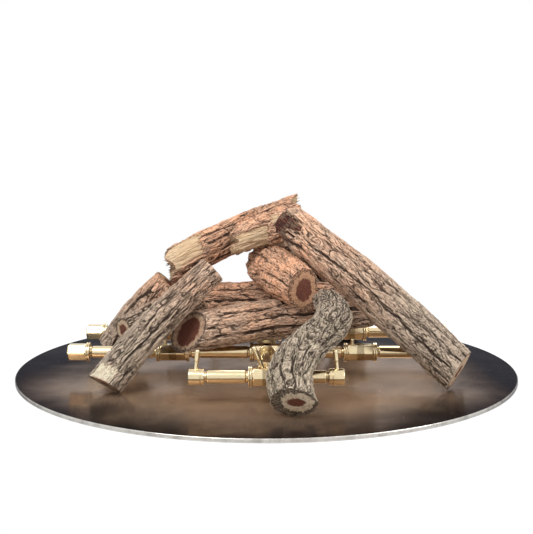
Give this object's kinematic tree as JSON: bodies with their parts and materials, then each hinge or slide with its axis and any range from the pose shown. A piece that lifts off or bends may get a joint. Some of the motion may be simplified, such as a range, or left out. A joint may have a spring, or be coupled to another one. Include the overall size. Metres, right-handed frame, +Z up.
{
  "type": "gas log set",
  "caption": "Pile of moulded ceramic logs on a brass tree burner with jets, standing on a round steel plate with a gas inlet in its middle.",
  "frame": {"origin": "centre of the plate on its underside", "axes": "+Z up through the gas inlet, front of the pile towards -Y, the long rows of the burner along X"},
  "size_m": [0.9144, 0.9144, 0.3248],
  "materials": {
    "plate_steel": "dark hot-rolled steel, semi-gloss",
    "burner_brass": "bright turned brass",
    "log_ceramic": "matt painted refractory ceramic, moulded as bark"
  },
  "bodies": {
    "burner": {"base_plate": "plate_steel", "inlet_coupling": "burner_brass", "riser_nipple": "burner_brass", "centre_tee": "burner_brass", "jet_centre": "burner_brass", "cross_front": "burner_brass", "cross_rear": "burner_brass", "spine_nipple_inner_front": "burner_brass", "spine_nipple_inner_rear": "burner_brass", "spine_nipple_outer_front": "burner_brass", "spine_nipple_outer_rear": "burner_brass", "end_tee_front": "burner_brass", "end_tee_rear": "burner_brass", "jet_tee_front": "burner_brass", "jet_tee_rear": "burner_brass", "mid_tee_front_left": "burner_brass", "mid_tee_front_right": "burner_brass", "mid_tee_rear_left": "burner_brass", "mid_tee_rear_right": "burner_brass", "jet_mid_front_left": "burner_brass", "jet_mid_front_right": "burner_brass", "jet_mid_rear_left": "burner_brass", "jet_mid_rear_right": "burner_brass", "row_nipple_inner_front_left": "burner_brass", "row_nipple_inner_front_right": "burner_brass", "row_nipple_inner_rear_left": "burner_brass", "row_nipple_inner_rear_right": "burner_brass", "row_nipple_outer_front_left": "burner_brass", "row_nipple_outer_front_right": "burner_brass", "row_nipple_outer_rear_left": "burner_brass", "row_nipple_outer_rear_right": "burner_brass", "end_nipple_front_left": "burner_brass", "end_nipple_front_right": "burner_brass", "end_nipple_rear_left": "burner_brass", "end_nipple_rear_right": "burner_brass", "hex_cap_front_left": "burner_brass", "hex_cap_front_right": "burner_brass", "hex_cap_rear_left": "burner_brass", "hex_cap_rear_right": "burner_brass", "round_cap_front_left": "burner_brass", "round_cap_front_right": "burner_brass", "round_cap_rear_left": "burner_brass", "round_cap_rear_right": "burner_brass", "jet_cap_front_left": "burner_brass", "jet_cap_front_right": "burner_brass", "jet_cap_rear_left": "burner_brass", "jet_cap_rear_right": "burner_brass", "log_cross_front": "log_ceramic", "log_cross_rear": "log_ceramic", "log_stub": "log_ceramic", "log_left_inner": "log_ceramic"},
    "right_log": {"log_right": "log_ceramic"},
    "front_log": {"log_front": "log_ceramic"},
    "left_log": {"log_left": "log_ceramic"},
    "rear_left_log": {"log_rear_left": "log_ceramic"},
    "rear_right_log": {"log_rear_right": "log_ceramic"},
    "top_log": {"log_top": "log_ceramic"},
    "crown_log": {"log_crown": "log_ceramic"}
  },
  "joints": [
    {"name": "lift_right_log", "type": "slide", "parent": "burner", "child": "right_log", "axis": [0.7035, -0.5025, 0.5025], "range_m": [0, 0.3]},
    {"name": "lift_front_log", "type": "slide", "parent": "burner", "child": "front_log", "axis": [0.1505, -0.8528, 0.5], "range_m": [0, 0.3]},
    {"name": "lift_left_log", "type": "slide", "parent": "burner", "child": "left_log", "axis": [-0.5988, -0.6487, 0.4696], "range_m": [0, 0.3]},
    {"name": "lift_rear_left_log", "type": "slide", "parent": "burner", "child": "rear_left_log", "axis": [-0.7062, 0.0504, 0.7062], "range_m": [0, 0.3]},
    {"name": "lift_rear_right_log", "type": "slide", "parent": "burner", "child": "rear_right_log", "axis": [0.5025, 0.7035, 0.5025], "range_m": [0, 0.3]},
    {"name": "lift_top_log", "type": "slide", "parent": "burner", "child": "top_log", "axis": [-0.1998, -0.4495, 0.8706], "range_m": [0, 0.3]},
    {"name": "lift_crown_log", "type": "slide", "parent": "burner", "child": "crown_log", "axis": [0, 0.3, 0.9539], "range_m": [0, 0.3]}
  ]
}
